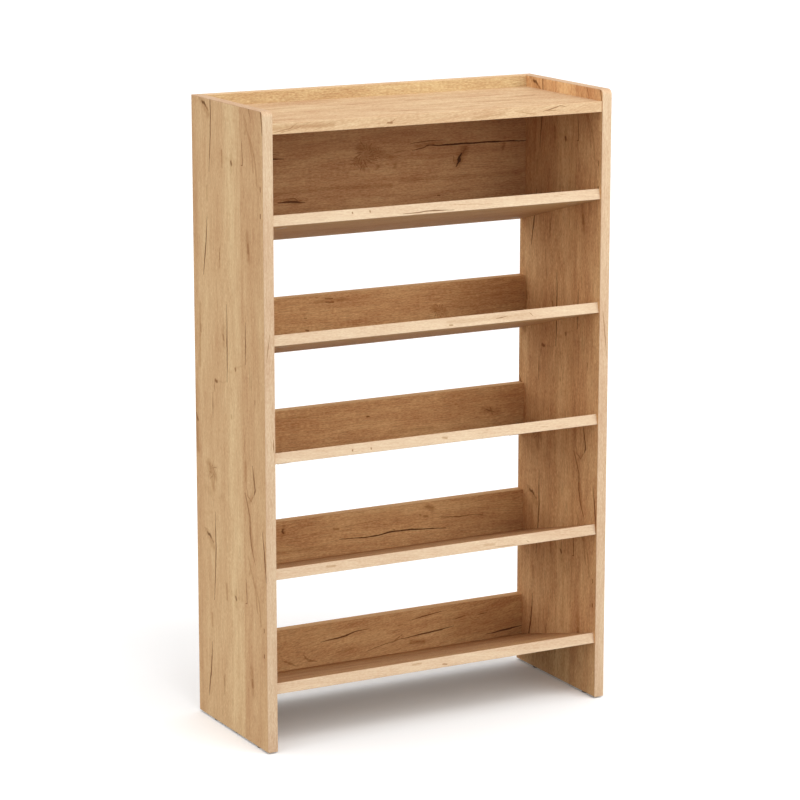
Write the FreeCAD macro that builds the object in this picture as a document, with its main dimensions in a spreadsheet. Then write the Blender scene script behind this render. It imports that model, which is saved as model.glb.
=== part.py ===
import FreeCAD, Part
import os
import Sketcher

# A free-standing shoe rack of faced chipboard. Two side panels hold a top panel, an upper back panel,
# five shelves that tilt down towards the rear, and a low rail behind each of the lower four shelves.
# The boards are joined by cam locks, cam bolts and dowels, and the rack stands on four nail-on glides.
# Frame: millimetres, +Z up, the front faces -Y, origin on the floor under the middle of the rack.

SHELF_COUNT = 5

# Points nearer to each other than this, in millimetres, count as one.
CLOSE = 1e-4

# The two ends of a board between the sides: the sign of X there, and the turn about Z in degrees
# that points a fastener into the board.
HALF_TURN = 180
LEFT_END = (-1, 0)
RIGHT_END = (1, HALF_TURN)
BOTH_ENDS = (LEFT_END, RIGHT_END)

# Driving dimensions in millimetres, and the tilt in degrees.
DIMENSIONS = {
    "inner_width": 620,         # between the side panels
    "board_thick": 18,
    "side_depth": 270,
    "side_height": 1070,
    "corner_radius": 10,        # top front corner of a side panel
    "band_thick": 1,            # plastic edge band
    "band_round": 0.7,          # rounding of a band's outer edges
    "top_drop": 20,             # top panel's surface below the tops of the sides
    "top_setback": 2,           # top panel's front edge behind the fronts of the sides
    "shelf_depth": 270,         # along the slope
    "shelf_tilt": 15,
    "shelf_setback": 3,         # a shelf's lower front corner behind the fronts of the sides
    "shelf_lowest": 98.6,       # the same corner of the lowest shelf above the bottoms of the sides
    "shelf_pitch": 196.2,
    "rail_height": 75,
    "rail_gap": 0.02,           # between a shelf's surface and the rail or back panel that stands on it
    "glide_height": 3,
    "glide_radius": 8,
    "glide_chamfer": 0.8,
    "glide_front_inset": 42,
    "glide_rear_inset": 60,
    "nail_radius": 1,
    "nail_length": 15,
    "nail_point": 3,
    "nail_head_radius": 4,
    "nail_head_thick": 1,
    "dowel_radius": 4,
    "dowel_in_side": 10,        # dowel length in the board whose face is drilled
    "dowel_in_end": 20,         # dowel length in the board whose end is drilled
    "dowel_chamfer": 1,
    "drill_spare": 1,           # a blind hole is this much deeper than what it holds
    "bolt_thread_radius": 2.5,
    "bolt_thread_length": 11,
    "bolt_collar_radius": 3.6,
    "bolt_collar_length": 1.5,
    "bolt_shank_radius": 3,
    "bolt_neck_radius": 2,
    "bolt_neck_length": 4,
    "bolt_head_length": 4,
    "bolt_hole_radius": 4,
    "cam_distance": 34,         # cam axis from the end of its board
    "cam_radius": 7.4,
    "cam_height": 13,
    "cam_bore_radius": 7.5,
    "cam_bore_depth": 13.5,
    "cam_slot_floor": 5,        # solid disc under the slot that takes the bolt's head
    "cam_slot_half": 3.8,
    "cam_cross_half": 4,        # driver recess
    "cam_cross_half_width": 0.9,
    "cam_cross_depth": 2.2,
    "cap_radius": 10,
    "cap_height": 0.5,
    "cap_chamfer": 0.3,
    "cam_spread": 96,           # cams and dowels of a shelf or the top, from its middle line
    "dowel_spread": 64,
    "back_cam_spread": 80,      # the same for the upper back panel
    "back_dowel_spread": 48,
    "rail_spread": 16,          # a rail's cam above, and its dowel below, its middle line
    "top_dowel_spread": 200,    # dowels between the top panel and the upper back panel
}

doc = FreeCAD.newDocument("shoe_rack")
sheet = doc.addObject("Spreadsheet::Sheet", "dims")
for row, (alias, value) in enumerate(DIMENSIONS.items(), start=1):
    sheet.set(f"A{row}", alias)
    sheet.set(f"B{row}", str(value))
    sheet.setAlias(f"B{row}", alias)
doc.recompute()

sub_parts = []


# Values and expressions

def number(expression):
    return float(sheet.evalExpression(str(expression)))


def dim(alias):
    return number(f"dims.{alias}")


SIDE_FRONT = "-dims.side_depth / 2"
SIDE_REAR = "dims.side_depth / 2"
SIDE_BOTTOM = "dims.glide_height"
SIDE_TOP = "dims.glide_height + dims.side_height"
HALF_WIDTH = "dims.inner_width / 2"
TOP_DEPTH = "dims.side_depth - dims.board_thick - dims.top_setback"
TOP_UNDERSIDE = f"{SIDE_TOP} - dims.top_drop - dims.board_thick"

# How far a shelf's surface lies below its lower front corner, where the rail's front face stands.
SURFACE_DROP = (
    "(dims.side_depth - dims.board_thick - dims.shelf_setback - dims.board_thick * sin(dims.shelf_tilt))"
    " * tan(dims.shelf_tilt) - dims.board_thick * cos(dims.shelf_tilt)"
)


# How far a rounded lower edge sinks below the place where a sharp one would meet the slope.
EDGE_SINK = "dims.band_round * (sin(dims.shelf_tilt) + cos(dims.shelf_tilt) - 1)"


def shelf_corner(shelf):
    """Height of a shelf's lower front corner. Shelf 1 is the highest."""
    steps = SHELF_COUNT - shelf
    return f"{SIDE_BOTTOM} + dims.shelf_lowest + {steps} * dims.shelf_pitch"


def back_bottom(shelf):
    """Lower edge of the rail or back panel that stands behind a shelf."""
    return f"{shelf_corner(shelf)} - ({SURFACE_DROP}) - {EDGE_SINK} + dims.rail_gap"


BACK_HEIGHT = f"{SIDE_TOP} - ({back_bottom(1)})"


# Sketches and features

def pin_corner(sketch, edge, axis, expression):
    """Fix one coordinate of an edge's start point."""
    horizontal_axis, vertical_axis, origin = -1, -2, -1
    if number(expression) == 0:
        line = vertical_axis if axis == "DistanceX" else horizontal_axis
        sketch.addConstraint(Sketcher.Constraint("PointOnObject", edge, 1, line))
        return
    place = number(expression)
    index = sketch.addConstraint(Sketcher.Constraint(axis, origin, 1, edge, 1, place))
    sketch.setExpression(f"Constraints[{index}]", str(expression))


def outline(body, plane, corners, height=None):
    """A closed sketch of straight edges. Each corner is a pair of expressions."""
    sketch = body.newObject("Sketcher::SketchObject", "Outline")
    support = next(item for item in body.Origin.OriginFeatures if item.Role == plane)
    sketch.AttachmentSupport = (support, [""])
    sketch.MapMode = "FlatFace"
    if height is not None:
        sketch.setExpression("AttachmentOffset.Base.z", height)
    points = [FreeCAD.Vector(number(across), number(up), 0) for across, up in corners]
    for start, end in zip(points, points[1:] + points[:1]):
        sketch.addGeometry(Part.LineSegment(start, end))
    for edge in range(len(points)):
        following = (edge + 1) % len(points)
        sketch.addConstraint(Sketcher.Constraint("Coincident", edge, 2, following, 1))
    for edge, (across, up) in enumerate(corners):
        pin_corner(sketch, edge, "DistanceX", across)
        pin_corner(sketch, edge, "DistanceY", up)
    return sketch


def rectangle(left, front, right, rear):
    return [(left, front), (right, front), (right, rear), (left, rear)]


def new_body(label):
    body = doc.addObject("PartDesign::Body", label)
    body.Label = label
    return body


def pad(body, sketch, length):
    feature = body.newObject("PartDesign::Pad", "Pad")
    feature.Profile = sketch
    feature.setExpression("Length", length)
    doc.recompute()


def pocket(body, sketch, length):
    """Cut upwards from the sketch, and make sure that something was cut."""
    before = body.Shape.Volume
    feature = body.newObject("PartDesign::Pocket", "Pocket")
    feature.Profile = sketch
    feature.Reversed = True
    feature.setExpression("Length", length)
    doc.recompute()
    if body.Shape.Volume >= before:
        raise RuntimeError(f"{body.Label}: a pocket cut nothing")


def revolve(label, plane, axis, corners):
    """A turned piece: its half outline is spun about an axis of the sketch."""
    body = new_body(label)
    sketch = outline(body, plane, corners)
    feature = body.newObject("PartDesign::Revolution", "Revolution")
    feature.Profile = sketch
    feature.ReferenceAxis = (sketch, [axis])
    feature.Angle = 360
    doc.recompute()
    return body


def round_edges(body, radius, wanted):
    base = body.Tip
    names = [f"Edge{index}" for index, edge in enumerate(base.Shape.Edges, start=1) if wanted(edge)]
    fillet = body.newObject("PartDesign::Fillet", "Fillet")
    fillet.Base = (base, names)
    fillet.setExpression("Radius", radius)
    doc.recompute()


def edge_runs(edge, **fixed):
    """Whether every end of an edge has the given coordinates."""
    return all(
        abs(getattr(vertex.Point, name) - value) < CLOSE
        for vertex in edge.Vertexes
        for name, value in fixed.items()
    )


def keep(label, piece):
    """Name a finished sub-part."""
    piece.Label = label
    sub_parts.append(piece)
    return piece


def group(label, pieces):
    compound = doc.addObject("Part::Compound", label)
    compound.Links = pieces
    return keep(label, compound)


def copies(label, pattern, placements):
    """Identical fasteners, each a copy of one pattern piece in its own place."""
    solids = []
    for placement in placements:
        solid = pattern.Shape.copy()
        solid.Placement = placement.multiply(solid.Placement)
        solids.append(solid)
    feature = doc.addObject("Part::Feature", label)
    feature.Shape = Part.makeCompound(solids)
    return keep(label, feature)


def drilled(label, blank, holes):
    """A board with all its holes cut out."""
    tool = doc.addObject("Part::Feature", f"{label}_holes")
    tool.Shape = holes[0].multiFuse(holes[1:])
    board = doc.addObject("Part::Cut", label)
    board.Base = blank
    board.Tool = tool
    return keep(label, board)


def hole(placement, radius, depth, direction):
    """A drilled hole that starts at a placement's origin and runs along one of its axes."""
    cylinder = Part.makeCylinder(radius, depth, FreeCAD.Vector(0, 0, 0), direction)
    cylinder.Placement = placement
    return cylinder


# Pattern pieces for the fasteners. A dowel or bolt lies along X with its origin where two boards meet,
# and +X runs into the board whose end is drilled. A cam's origin is on its board's face, +Z inwards.

def dowel_pattern():
    return revolve("dowel", "XY_Plane", "H_Axis", [
        ("-dims.dowel_in_side", 0),
        ("-dims.dowel_in_side", "dims.dowel_radius - dims.dowel_chamfer"),
        ("-dims.dowel_in_side + dims.dowel_chamfer", "dims.dowel_radius"),
        ("dims.dowel_in_end - dims.dowel_chamfer", "dims.dowel_radius"),
        ("dims.dowel_in_end", "dims.dowel_radius - dims.dowel_chamfer"),
        ("dims.dowel_in_end", 0),
    ])


def bolt_pattern():
    head_start = "dims.cam_distance - dims.bolt_head_length / 2"
    head_end = "dims.cam_distance + dims.bolt_head_length / 2"
    neck_start = f"{head_start} - dims.bolt_neck_length"
    return revolve("cam_bolt", "XY_Plane", "H_Axis", [
        ("-dims.bolt_thread_length", 0),
        ("-dims.bolt_thread_length", "dims.bolt_thread_radius"),
        (0, "dims.bolt_thread_radius"),
        (0, "dims.bolt_collar_radius"),
        ("dims.bolt_collar_length", "dims.bolt_collar_radius"),
        ("dims.bolt_collar_length", "dims.bolt_shank_radius"),
        (neck_start, "dims.bolt_shank_radius"),
        (neck_start, "dims.bolt_neck_radius"),
        (head_start, "dims.bolt_neck_radius"),
        (head_start, "dims.bolt_shank_radius"),
        (head_end, "dims.bolt_shank_radius"),
        (head_end, 0),
    ])


def cam_pattern():
    cam = revolve("cam_lock", "XZ_Plane", "V_Axis", [
        (0, 0),
        ("dims.cam_radius", 0),
        ("dims.cam_radius", "dims.cam_height"),
        (0, "dims.cam_height"),
    ])
    half = "dims.cam_slot_half"
    past_rim = "dims.cam_radius + dims.drill_spare"
    slot = outline(cam, "XY_Plane", rectangle(f"-{half}", f"-{half}", past_rim, half), "dims.cam_slot_floor")
    pocket(cam, slot, "dims.cam_height - dims.cam_slot_floor")
    arm = "dims.cam_cross_half"
    side = "dims.cam_cross_half_width"
    cross = outline(cam, "XY_Plane", [
        (arm, f"-{side}"), (arm, side), (side, side), (side, arm),
        (f"-{side}", arm), (f"-{side}", side), (f"-{arm}", side), (f"-{arm}", f"-{side}"),
        (f"-{side}", f"-{side}"), (f"-{side}", f"-{arm}"), (side, f"-{arm}"), (side, f"-{side}"),
    ])
    pocket(cam, cross, "dims.cam_cross_depth")
    return cam


def cap_pattern():
    return revolve("cam_cap", "XZ_Plane", "V_Axis", [
        (0, 0),
        ("dims.cap_radius", 0),
        ("dims.cap_radius", "dims.cap_chamfer - dims.cap_height"),
        ("dims.cap_radius - dims.cap_chamfer", "-dims.cap_height"),
        (0, "-dims.cap_height"),
    ])


def glide_pattern():
    return revolve("glide", "XZ_Plane", "V_Axis", [
        (0, 0),
        ("dims.glide_radius - dims.glide_chamfer", 0),
        ("dims.glide_radius", "dims.glide_chamfer"),
        ("dims.glide_radius", "dims.glide_height"),
        ("dims.nail_head_radius", "dims.glide_height"),
        ("dims.nail_head_radius", "dims.glide_height - dims.nail_head_thick"),
        (0, "dims.glide_height - dims.nail_head_thick"),
    ])


def nail_pattern():
    point_start = "dims.glide_height + dims.nail_length - dims.nail_point"
    return revolve("glide_nail", "XZ_Plane", "V_Axis", [
        (0, "dims.glide_height - dims.nail_head_thick"),
        ("dims.nail_head_radius", "dims.glide_height - dims.nail_head_thick"),
        ("dims.nail_head_radius", "dims.glide_height"),
        ("dims.nail_radius", "dims.glide_height"),
        ("dims.nail_radius", point_start),
        (0, "dims.glide_height + dims.nail_length"),
    ])


# Boards that lie between the side panels. In a board's own frame X runs along it, Y across it from one
# banded edge to the other, and Z through its thickness from the face that holds the cam locks.

class CrossBoard:
    def __init__(self, label, depth, base, turn, banded, cams, dowels):
        self.label = label
        self.depth = depth
        self.base = base
        self.turn = turn
        middle = number(depth) / 2
        self.cam_stations = [middle + offset for offset in cams]
        self.dowel_stations = [middle + offset for offset in dowels]
        self.blank = self.block("blank", *self.core_span(banded))
        self.placement = self.blank.Placement
        self.strips = [self.strip(edge) for edge in banded]
        self.extra_holes = []

    def core_span(self, banded):
        front = "dims.band_thick" if "front" in banded else 0
        rear = f"{self.depth} - dims.band_thick" if "rear" in banded else self.depth
        return front, rear

    def block(self, suffix, front, rear):
        body = new_body(f"{self.label}_{suffix}")
        sketch = outline(body, "XY_Plane", rectangle(f"-{HALF_WIDTH}", front, HALF_WIDTH, rear))
        pad(body, sketch, "dims.board_thick")
        axis, angle = self.turn
        body.Placement = FreeCAD.Placement(
            FreeCAD.Vector(0, number(self.base[0]), number(self.base[1])),
            FreeCAD.Rotation(axis, number(angle)),
        )
        body.setExpression("Placement.Base.y", self.base[0])
        body.setExpression("Placement.Base.z", self.base[1])
        body.setExpression("Placement.Rotation.Angle", angle)
        return body

    def strip(self, edge):
        """An edge band, with its two outer edges eased."""
        if edge == "front":
            body = self.block("front_strip", 0, "dims.band_thick")
            outer = 0
        else:
            body = self.block("rear_strip", f"{self.depth} - dims.band_thick", self.depth)
            outer = number(self.depth)
        back_to_local = body.Tip.Placement.inverse()

        def outer_long_edge(line):
            ends = [back_to_local.multVec(vertex.Point) for vertex in line.Vertexes]
            runs_along = abs(ends[0].x - ends[1].x) > CLOSE
            return runs_along and all(abs(end.y - outer) < CLOSE for end in ends)

        round_edges(body, "dims.band_round", outer_long_edge)
        return body

    def end_placement(self, station, sign, turn):
        """Where a fastener crosses from a side panel into the board's end."""
        spot = FreeCAD.Vector(sign * dim("inner_width") / 2, station, dim("board_thick") / 2)
        return self.placement.multiply(FreeCAD.Placement(spot, FreeCAD.Rotation(FreeCAD.Vector(0, 0, 1), turn)))

    def cam_placement(self, station, sign, turn):
        """A cam's axis on the board's face, with its slot towards the board's end."""
        reach = dim("inner_width") / 2 - dim("cam_distance")
        spin = FreeCAD.Rotation(FreeCAD.Vector(0, 0, 1), turn + HALF_TURN)
        spot = FreeCAD.Vector(sign * reach, station, 0)
        return self.placement.multiply(FreeCAD.Placement(spot, spin))

    def cam_placements(self):
        return [self.cam_placement(station, *end) for end in BOTH_ENDS for station in self.cam_stations]

    def holes(self):
        inwards = FreeCAD.Vector(1, 0, 0)
        through = FreeCAD.Vector(0, 0, 1)
        dowel_depth = dim("dowel_in_end") + dim("drill_spare")
        found = list(self.extra_holes)
        for end in BOTH_ENDS:
            for station in self.dowel_stations:
                found.append(hole(self.end_placement(station, *end), dim("dowel_radius"), dowel_depth, inwards))
            for station in self.cam_stations:
                mouth = self.end_placement(station, *end)
                found.append(hole(mouth, dim("bolt_hole_radius"), dim("cam_distance"), inwards))
        for placement in self.cam_placements():
            found.append(hole(placement, dim("cam_bore_radius"), dim("cam_bore_depth"), through))
        return found

    def finish(self, bands_label):
        drilled(self.label, self.blank, self.holes())
        if len(self.strips) == 1:
            keep(bands_label, self.strips[0])
        else:
            group(bands_label, self.strips)


LEVEL = (FreeCAD.Vector(1, 0, 0), "0")
UPRIGHT = (FreeCAD.Vector(1, 0, 0), "90")
TILTED = (FreeCAD.Vector(-1, 0, 0), "dims.shelf_tilt")


def both_ways(alias):
    return (-dim(alias), dim(alias))


def make_cross_boards():
    shelf_pattern = {"cams": both_ways("cam_spread"), "dowels": both_ways("dowel_spread")}
    rail_pattern = {"cams": [dim("rail_spread")], "dowels": [-dim("rail_spread")]}
    boards = {}
    boards["top_panel"] = CrossBoard(
        "top_panel", TOP_DEPTH, (f"{SIDE_FRONT} + dims.top_setback", TOP_UNDERSIDE),
        LEVEL, ["front"], **shelf_pattern)
    boards["upper_back_panel"] = CrossBoard(
        "upper_back_panel", BACK_HEIGHT, (SIDE_REAR, back_bottom(1)), UPRIGHT, ["front", "rear"],
        cams=both_ways("back_cam_spread"), dowels=both_ways("back_dowel_spread"))
    for shelf in range(1, SHELF_COUNT + 1):
        label = f"shelf_{shelf}"
        boards[label] = CrossBoard(
            label, "dims.shelf_depth", (f"{SIDE_FRONT} + dims.shelf_setback", shelf_corner(shelf)),
            TILTED, ["front", "rear"], **shelf_pattern)
    for shelf in range(2, SHELF_COUNT + 1):
        label = f"shelf_{shelf}_back_rail"
        boards[label] = CrossBoard(
            label, "dims.rail_height", (SIDE_REAR, back_bottom(shelf)), UPRIGHT, ["front", "rear"],
            **rail_pattern)
    return boards


# Side panels. In a side's own frame X runs through its thickness, Y from front to rear and Z upwards.

def side_body(label, corners, left_face):
    body = new_body(label)
    pad(body, outline(body, "YZ_Plane", corners), "dims.board_thick")
    body.setExpression("Placement.Base.x", left_face)
    body.setExpression("Placement.Base.y", SIDE_FRONT)
    body.setExpression("Placement.Base.z", SIDE_BOTTOM)
    return body


def side_blank(label, left_face):
    band = "dims.band_thick"
    rear = "dims.side_depth - dims.band_thick"
    top = "dims.side_height - dims.band_thick"
    body = side_body(label, rectangle(band, band, rear, top), left_face)
    front_top = {"y": number(band), "z": number(top)}
    round_edges(body, "dims.corner_radius - dims.band_thick", lambda edge: edge_runs(edge, **front_top))
    return body


def ease_band(body, follows_rim):
    """Round the outer edges of a band on both faces of the side panel."""
    faces = (0, dim("board_thick"))

    def wanted(edge):
        return follows_rim(edge) and any(edge_runs(edge, x=face) for face in faces)

    round_edges(body, "dims.band_round", wanted)


def front_band(label, left_face):
    """One strip up the front edge, round the corner and back along the top."""
    band = "dims.band_thick"
    depth = "dims.side_depth"
    height = "dims.side_height"
    inner_top = "dims.side_height - dims.band_thick"
    body = side_body(label, [
        (0, 0), (band, 0), (band, inner_top), (depth, inner_top), (depth, height), (0, height),
    ], left_face)
    inner_corner = {"y": number(band), "z": number(inner_top)}
    outer_corner = {"y": 0, "z": number(height)}
    round_edges(body, "dims.corner_radius - dims.band_thick", lambda edge: edge_runs(edge, **inner_corner))
    round_edges(body, "dims.corner_radius", lambda edge: edge_runs(edge, **outer_corner))

    def on_rim(edge):
        arc = edge.Curve.TypeId == "Part::GeomCircle"
        outer_arc = arc and abs(edge.Curve.Radius - dim("corner_radius")) < CLOSE
        return outer_arc or edge_runs(edge, y=0) or edge_runs(edge, z=number(height))

    ease_band(body, on_rim)
    return body


def rear_band(label, left_face):
    inner = "dims.side_depth - dims.band_thick"
    top = "dims.side_height - dims.band_thick"
    body = side_body(label, rectangle(inner, 0, "dims.side_depth", top), left_face)
    ease_band(body, lambda edge: edge_runs(edge, y=dim("side_depth")))
    return body


def bottom_band(label, left_face):
    band = "dims.band_thick"
    rear = "dims.side_depth - dims.band_thick"
    body = side_body(label, rectangle(band, 0, rear, band), left_face)
    ease_band(body, lambda edge: edge_runs(edge, z=0))
    return body


def glide_spots(sign):
    """Floor points under one side panel: front, then rear."""
    across = sign * (dim("inner_width") + dim("board_thick")) / 2
    front = number(SIDE_FRONT) + dim("glide_front_inset")
    rear = number(SIDE_REAR) - dim("glide_rear_inset")
    return {
        "front": FreeCAD.Placement(FreeCAD.Vector(across, front, 0), FreeCAD.Rotation()),
        "rear": FreeCAD.Placement(FreeCAD.Vector(across, rear, 0), FreeCAD.Rotation()),
    }


def nail_holes(sign):
    up = FreeCAD.Vector(0, 0, 1)
    depth = dim("glide_height") + dim("nail_length")
    return [hole(spot, dim("nail_radius"), depth, up) for spot in glide_spots(sign).values()]


def side_holes(boards, end):
    """Holes in a side panel's inner face for the fasteners of every cross board."""
    outwards = FreeCAD.Vector(-1, 0, 0)
    dowel_depth = dim("dowel_in_side") + dim("drill_spare")
    found = []
    for board in boards.values():
        for station in board.dowel_stations:
            found.append(hole(board.end_placement(station, *end), dim("dowel_radius"), dowel_depth, outwards))
        for station in board.cam_stations:
            mouth = board.end_placement(station, *end)
            found.append(hole(mouth, dim("bolt_thread_radius"), dim("bolt_thread_length"), outwards))
    return found


def make_side(name, end, left_face, boards, patterns):
    sign = end[0]
    panel = f"{name}_side_panel"
    drilled(panel, side_blank(f"{panel}_blank", left_face), side_holes(boards, end) + nail_holes(sign))
    keep(f"{name}_side_front_band", front_band(f"{name}_side_front_band", left_face))
    keep(f"{name}_side_rear_band", rear_band(f"{name}_side_rear_band", left_face))
    strip = bottom_band(f"{name}_side_bottom_strip", left_face)
    drilled(f"{name}_side_bottom_band", strip, nail_holes(sign))
    for position, spot in glide_spots(sign).items():
        copies(f"{position}_{name}_glide", patterns["glide"], [spot])
    dowels = [board.end_placement(at, *end) for board in boards.values() for at in board.dowel_stations]
    copies(f"{name}_side_dowels", patterns["dowel"], dowels)
    bolts = [board.end_placement(at, *end) for board in boards.values() for at in board.cam_stations]
    copies(f"{name}_side_cam_bolts", patterns["bolt"], bolts)


def join_top_to_back(boards, dowel):
    """Dowels from the top panel's rear edge into the front face of the upper back panel."""
    top = boards["top_panel"]
    back = boards["upper_back_panel"]
    into_top = FreeCAD.Vector(1, 0, 0)
    into_back = FreeCAD.Vector(-1, 0, 0)
    forwards = FreeCAD.Rotation(FreeCAD.Vector(0, 0, 1), -HALF_TURN / 2)
    placements = []
    for across in (-dim("top_dowel_spread"), 0, dim("top_dowel_spread")):
        spot = FreeCAD.Vector(across, number(TOP_DEPTH), dim("board_thick") / 2)
        placement = top.placement.multiply(FreeCAD.Placement(spot, forwards))
        end_depth = dim("dowel_in_end") + dim("drill_spare")
        face_depth = dim("dowel_in_side") + dim("drill_spare")
        top.extra_holes.append(hole(placement, dim("dowel_radius"), end_depth, into_top))
        back.extra_holes.append(hole(placement, dim("dowel_radius"), face_depth, into_back))
        placements.append(placement)
    copies("top_to_back_dowels", dowel, placements)


def make_cams(boards, patterns):
    capped = []
    rails = []
    for label, board in boards.items():
        if label.endswith("back_rail"):
            rails += board.cam_placements()
            continue
        copies(f"{label}_cam_locks", patterns["cam"], board.cam_placements())
        if label != "upper_back_panel":
            capped += board.cam_placements()
    copies("back_rail_cam_locks", patterns["cam"], rails)
    copies("cam_cover_caps", patterns["cap"], capped)


def make_rack():
    patterns = {
        "dowel": dowel_pattern(),
        "bolt": bolt_pattern(),
        "cam": cam_pattern(),
        "cap": cap_pattern(),
        "glide": glide_pattern(),
        "nail": nail_pattern(),
    }
    boards = make_cross_boards()
    join_top_to_back(boards, patterns["dowel"])
    make_side("left", LEFT_END, f"-{HALF_WIDTH} - dims.board_thick", boards, patterns)
    make_side("right", RIGHT_END, HALF_WIDTH, boards, patterns)
    for label, board in boards.items():
        board.finish(f"{label}_bands")
    make_cams(boards, patterns)
    nails = [spot for sign, _ in BOTH_ENDS for spot in glide_spots(sign).values()]
    copies("glide_nails", patterns["nail"], nails)


make_rack()
doc.recompute()

# Nothing is written unless every object is sound.
for item in doc.Objects:
    if "Invalid" in item.State or "Error" in item.State:
        raise RuntimeError(f"{item.Label}: {item.State}")
for piece in sub_parts:
    if piece.Shape.isNull() or not piece.Shape.isValid():
        raise RuntimeError(f"{piece.Label}: shape is null or not valid")

os.makedirs("parts", exist_ok=True)
for piece in sub_parts:
    piece.Shape.exportStep(f"parts/{piece.Label}.step")
print(f"{len(sub_parts)} sub-parts written")
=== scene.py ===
"""Looks of the shoe rack: the oak faced boards, their edge bands and fittings, the light and the camera."""

import math
from collections import namedtuple

import bpy
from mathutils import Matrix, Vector


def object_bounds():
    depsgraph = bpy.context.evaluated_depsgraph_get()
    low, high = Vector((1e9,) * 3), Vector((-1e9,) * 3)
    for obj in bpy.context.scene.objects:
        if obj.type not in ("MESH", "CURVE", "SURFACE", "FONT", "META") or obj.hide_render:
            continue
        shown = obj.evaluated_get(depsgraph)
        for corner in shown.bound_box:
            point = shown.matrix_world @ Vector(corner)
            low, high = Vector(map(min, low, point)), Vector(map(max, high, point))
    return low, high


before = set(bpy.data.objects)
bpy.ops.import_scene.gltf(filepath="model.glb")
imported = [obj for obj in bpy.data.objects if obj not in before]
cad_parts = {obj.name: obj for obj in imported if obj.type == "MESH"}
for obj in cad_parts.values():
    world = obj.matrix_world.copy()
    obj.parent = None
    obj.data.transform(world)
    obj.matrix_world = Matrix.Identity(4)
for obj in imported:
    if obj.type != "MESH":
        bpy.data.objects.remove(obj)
cad_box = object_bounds()

# The wood figure is drawn in millimetres on the face of each board.
MM_PER_METRE = 1000.0
SHELF_TILT = math.radians(15)
SHELF_COUNT = 5
# How much further along the figure the face away from the viewer is printed.
FAR_FACE_SHIFT = 330.0

# The camera, in metres and degrees, turned from +Y towards +X.
CAMERA_PLACE = (-2.4925, -4.5842, 1.6858)
CAMERA_TURN = 28.478
CAMERA_DOWN = 12.342
# Its lens and the width of its sensor, in millimetres.
CAMERA_LENS = 140.40
CAMERA_SENSOR = 36.0

# Light: an even studio with a soft box glowing far off on the left, a soft box near the rack at its front
# right, and one lamp. Turns run from the front towards the rack's right and heights up from the floor, in
# degrees. Strengths are shares of plain white.
STUDIO_LIGHT = 0.92
Light = namedtuple("Light", "turn height strength")
LEFT_BOX = Light(-84, 15, 1.28)
LEFT_BOX_FOCUS = 8
LAMP = Light(0, 60, 0.14)
LAMP_SPREAD = 20
# The near soft box: metres from the rack's middle over the floor, up from the floor, and across.
NEAR_BOX = Light(31, 0, 0.39)
NEAR_BOX_DISTANCE = 2.6
NEAR_BOX_UP = 1.88
NEAR_BOX_SIZE = 2.0
# The floor looks white, but it throws less light up at the rack than a white one would.
FLOOR_SEEN = 1.0
FLOOR_GLOW = 0.05
FLOOR_BOUNCE = 0.42

# A layout says which way the figure lies on a board: unit vectors across and along the grain.
Layout = namedtuple("Layout", "across along")
UPRIGHT = Layout((0, 1, 0), (0, 0, 1))
LEVEL = Layout((0, 1, 0), (1, 0, 0))
STANDING = Layout((0, 0, 1), (1, 0, 0))
TILTED = Layout((0, math.cos(SHELF_TILT), -math.sin(SHELF_TILT)), (1, 0, 0))
ROUND_THE_SIDE = Layout((-1, 0, 0), (0, 1, 1))
ON_AN_EDGE = Layout((0, 1, 1), (1, 0, 0))

# A mark is a soft-edged stroke through points of a board: a crack, a knot or a smear; on the rails' right
# ends a broad smear is painted shade. Its points are (across, along) in millimetres, with a width at each.
# Tone is its darkness, and soft the share of its width that fades.
Mark = namedtuple("Mark", "points widths tone soft")
CRACK_SOFT = 0.5
KNOT_SOFT = 0.8
SMEAR_SOFT = 1.0
# A crack's width at its ends, as a share of its middle.
HAIR = 0.3
# Steps of this share, taken over and over, spread the lengths of a burr's lashes evenly.
GOLDEN_SHARE = 0.618


def crack(width, tone, *points):
    """A stroke that is widest in its middle and drawn out to a hair at both ends."""
    if len(points) == 2:
        middle = tuple((Vector(points[0]) + Vector(points[1])) / 2)
        points = (points[0], middle, points[1])
    last = len(points) - 1
    widths = [width * (HAIR + (1 - HAIR) * math.sin(math.pi * place / last)) for place in range(last + 1)]
    return Mark(points, widths, tone, CRACK_SOFT)


def knot(width, tone, *points):
    """A short stroke of one width, dark in its middle."""
    return Mark(points, [width] * len(points), tone, KNOT_SOFT)


def smear(width, tone, *points):
    """A stroke of one width that fades from its middle line outwards."""
    return Mark(points, [width] * len(points), tone, SMEAR_SOFT)


def burr(centre, radius, tone, lashes, lean=0.5):
    """A burr: a soft shade with short lashes out of it all round, some longer than others.

    The more they lean, in radians, the more they whorl round the middle.
    """
    middle = Vector(centre)
    off_middle = tuple(middle + Vector((0.4 * radius, 0)))
    marks = [smear(2.2 * radius, 0.6 * tone, centre, off_middle)]
    for lash in range(lashes):
        turn = 2 * math.pi * lash / lashes
        reach = radius * (0.65 + 0.5 * (lash * GOLDEN_SHARE % 1))
        root = middle + 0.35 * radius * Vector((math.cos(turn), math.sin(turn)))
        tip = middle + reach * Vector((math.cos(turn + lean), math.sin(turn + lean)))
        marks.append(crack(0.2 * radius, tone, tuple(root), tuple(tip)))
    return marks


def moved(marks, across, along):
    """Marks shifted over their board."""
    return [mark._replace(points=[(a + across, b + along) for a, b in mark.points]) for mark in marks]


def turned(marks):
    """Marks given as (X, across) on a board whose grain runs along X, as (across, along)."""
    return [mark._replace(points=[point[::-1] for point in mark.points]) for mark in marks]


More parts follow.
